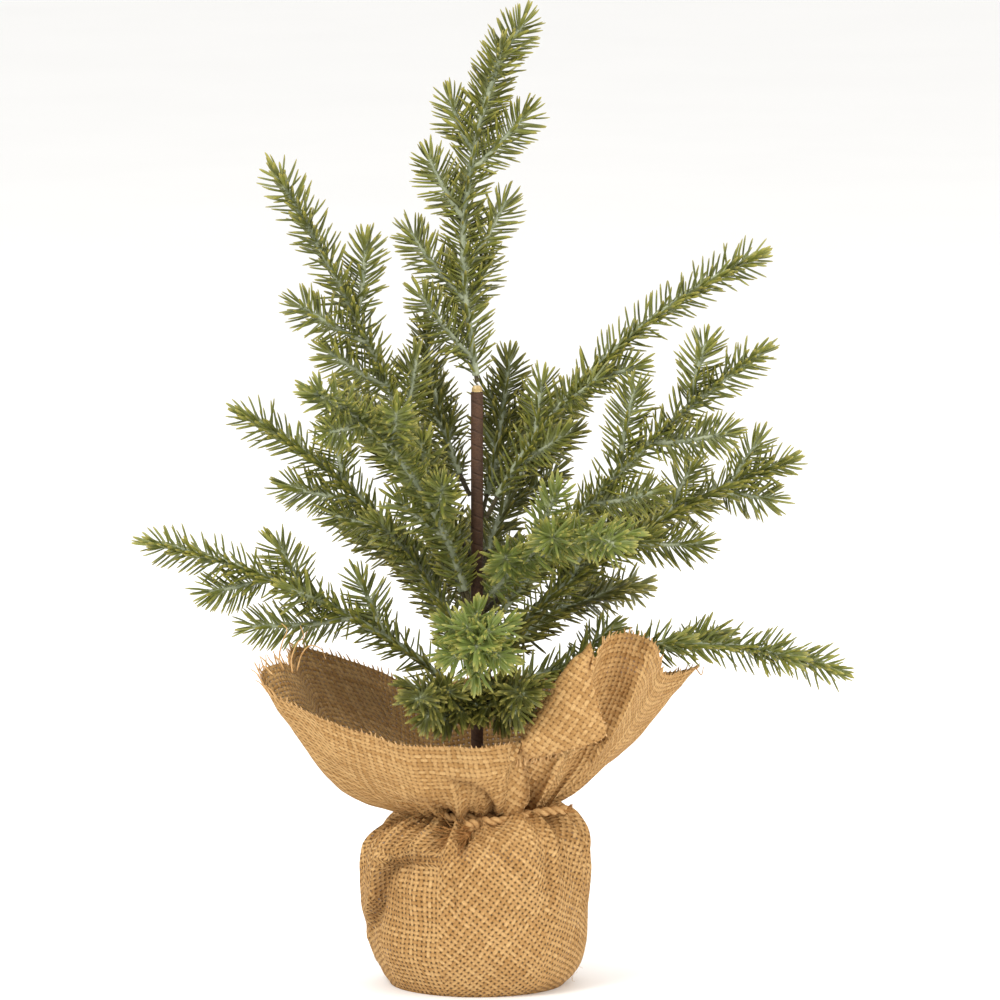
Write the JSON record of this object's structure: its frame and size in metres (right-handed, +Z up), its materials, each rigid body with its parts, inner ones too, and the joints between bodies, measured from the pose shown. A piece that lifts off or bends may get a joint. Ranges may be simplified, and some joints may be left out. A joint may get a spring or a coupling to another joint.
{
  "type": "artificial tabletop tree",
  "caption": "Small artificial conifer with moulded needle sprays on bendable wires, in a weighted pot wrapped in burlap and tied with jute twine.",
  "frame": {"origin": "centre of the burlap's flat underside, on the surface the tree stands on", "axes": "+Z up along the trunk, +X to the tree's right as seen from its front, +Y towards its back"},
  "size_m": [0.3262, 0.2512, 0.4478],
  "materials": {
    "needles": "satin moulded polyethylene, olive green with pale tips",
    "taped_wire": "matt brown tape over soft steel wire",
    "black_plastic": "matt moulded",
    "cement": "rough cast",
    "burlap": "open plain weave of natural jute",
    "jute_twine": "two-ply twisted jute",
    "steel": "plain drawn rod",
    "brown_tape": "matt brown wound tape",
    "hot_glue": "cloudy hot-melt glue"
  },
  "bodies": {
    "base": {"pot": "black_plastic", "base_weight": "cement", "burlap_wrap": "burlap", "twine_band": "jute_twine", "twine_knot": "jute_twine", "twine_tail": "jute_twine", "trunk_rod": "steel", "trunk_tape": "brown_tape", "tip_glue": "hot_glue"},
    "upper_left_limb": {"upper_left_wire": "taped_wire", "upper_left_spray": "needles"},
    "left_front_limb": {"left_front_wire": "taped_wire", "left_front_spray": "needles"},
    "left_limb": {"left_wire": "taped_wire", "left_spray": "needles"},
    "low_left_limb": {"low_left_wire": "taped_wire", "low_left_spray": "needles"},
    "upper_right_limb": {"upper_right_wire": "taped_wire", "upper_right_spray": "needles"},
    "right_mid_limb": {"right_mid_wire": "taped_wire", "right_mid_spray": "needles"},
    "right_limb": {"right_wire": "taped_wire", "right_spray": "needles"},
    "right_front_limb": {"right_front_wire": "taped_wire", "right_front_spray": "needles"},
    "front_limb": {"front_wire": "taped_wire", "front_spray": "needles"},
    "low_right_limb": {"low_right_wire": "taped_wire", "low_right_spray": "needles"},
    "right_back_limb": {"right_back_wire": "taped_wire", "right_back_spray": "needles"},
    "right_shade_limb": {"right_shade_wire": "taped_wire", "right_shade_spray": "needles"},
    "left_inner_limb": {"left_inner_wire": "taped_wire", "left_inner_spray": "needles"},
    "right_inner_limb": {"right_inner_wire": "taped_wire", "right_inner_spray": "needles"},
    "back_high_right_limb": {"back_high_right_wire": "taped_wire", "back_high_right_spray": "needles"},
    "back_limb": {"back_wire": "taped_wire", "back_spray": "needles"},
    "back_left_limb": {"back_left_wire": "taped_wire", "back_left_spray": "needles"},
    "back_high_left_limb": {"back_high_left_wire": "taped_wire", "back_high_left_spray": "needles"},
    "low_front_left_limb": {"low_front_left_wire": "taped_wire", "low_front_left_spray": "needles"},
    "low_front_right_limb": {"low_front_right_wire": "taped_wire", "low_front_right_spray": "needles"},
    "leader_limb": {"leader_wire": "taped_wire", "leader_spray": "needles"}
  },
  "joints": [
    {"name": "upper_left_bend", "type": "hinge", "parent": "base", "child": "upper_left_limb", "pos_m": [-0.00395, -0.00144, 0.1712], "axis": [-0.342, 0.9397, 0], "range_deg": [-12, 3]},
    {"name": "left_front_bend", "type": "hinge", "parent": "base", "child": "left_front_limb", "pos_m": [-0.00247, -0.0034, 0.1732], "axis": [-0.809, 0.5878, 0], "range_deg": [-12, 12]},
    {"name": "left_bend", "type": "hinge", "parent": "base", "child": "left_limb", "pos_m": [-0.00418, 0.00044, 0.1512], "axis": [0.1045, 0.9945, 0], "range_deg": [-15, 12]},
    {"name": "low_left_bend", "type": "hinge", "parent": "base", "child": "low_left_limb", "pos_m": [-0.00419, -0.00022, 0.1312], "axis": [-0.0523, 0.9986, 0], "range_deg": [-10, 12]},
    {"name": "upper_right_bend", "type": "hinge", "parent": "base", "child": "upper_right_limb", "pos_m": [0.00418, 0.00037, 0.2152], "axis": [0.0872, -0.9962, 0], "range_deg": [-15, 15]},
    {"name": "right_mid_bend", "type": "hinge", "parent": "base", "child": "right_mid_limb", "pos_m": [0.00395, -0.00144, 0.1612], "axis": [-0.342, -0.9397, 0], "range_deg": [-15, 15]},
    {"name": "right_bend", "type": "hinge", "parent": "base", "child": "right_limb", "pos_m": [0.00407, 0.00102, 0.1492], "axis": [0.2419, -0.9703, 0], "range_deg": [-12, 15]},
    {"name": "right_front_bend", "type": "hinge", "parent": "base", "child": "right_front_limb", "pos_m": [0.00223, -0.00356, 0.1732], "axis": [-0.848, -0.5299, 0], "range_deg": [-15, 15]},
    {"name": "front_bend", "type": "hinge", "parent": "base", "child": "front_limb", "pos_m": [0, -0.0042, 0.1532], "axis": [-1, 0, 0], "range_deg": [-10, 15]},
    {"name": "low_right_bend", "type": "hinge", "parent": "base", "child": "low_right_limb", "pos_m": [0.00414, 0.00073, 0.1302], "axis": [0.1736, -0.9848, 0], "range_deg": [-3, 15]},
    {"name": "right_back_bend", "type": "hinge", "parent": "base", "child": "right_back_limb", "pos_m": [0.00259, 0.00331, 0.1402], "axis": [0.788, -0.6157, 0], "range_deg": [-10, 15]},
    {"name": "right_shade_bend", "type": "hinge", "parent": "base", "child": "right_shade_limb", "pos_m": [0.00348, 0.00235, 0.1722], "axis": [0.5592, -0.829, 0], "range_deg": [-12, 12]},
    {"name": "left_inner_bend", "type": "hinge", "parent": "base", "child": "left_inner_limb", "pos_m": [-0.00322, 0.0027, 0.2252], "axis": [0.6428, 0.766, 0], "range_deg": [-12, 4]},
    {"name": "right_inner_bend", "type": "hinge", "parent": "base", "child": "right_inner_limb", "pos_m": [0.00197, 0.00371, 0.2152], "axis": [0.8829, -0.4695, 0], "range_deg": [-12, 4]},
    {"name": "back_high_right_bend", "type": "hinge", "parent": "base", "child": "back_high_right_limb", "pos_m": [0.00171, 0.00384, 0.1902], "axis": [0.9135, -0.4067, 0], "range_deg": [-15, 12]},
    {"name": "back_bend", "type": "hinge", "parent": "base", "child": "back_limb", "pos_m": [0, 0.0042, 0.1502], "axis": [1, 0, 0], "range_deg": [-12, 15]},
    {"name": "back_left_bend", "type": "hinge", "parent": "base", "child": "back_left_limb", "pos_m": [-0.00223, 0.00356, 0.1432], "axis": [0.848, 0.5299, 0], "range_deg": [-12, 12]},
    {"name": "back_high_left_bend", "type": "hinge", "parent": "base", "child": "back_high_left_limb", "pos_m": [-0.00259, 0.00331, 0.1952], "axis": [0.788, 0.6157, 0], "range_deg": [-15, 12]},
    {"name": "low_front_left_bend", "type": "hinge", "parent": "base", "child": "low_front_left_limb", "pos_m": [-0.00144, -0.00395, 0.1292], "axis": [-0.9397, 0.342, 0], "range_deg": [-4, 12]},
    {"name": "low_front_right_bend", "type": "hinge", "parent": "base", "child": "low_front_right_limb", "pos_m": [0.00123, -0.00402, 0.1322], "axis": [-0.9563, -0.2924, 0], "range_deg": [-3, 12]},
    {"name": "leader_bend", "type": "hinge", "parent": "base", "child": "leader_limb", "pos_m": [0, 0, 0.2779], "axis": [0, 1, 0], "range_deg": [-6, 10]}
  ]
}
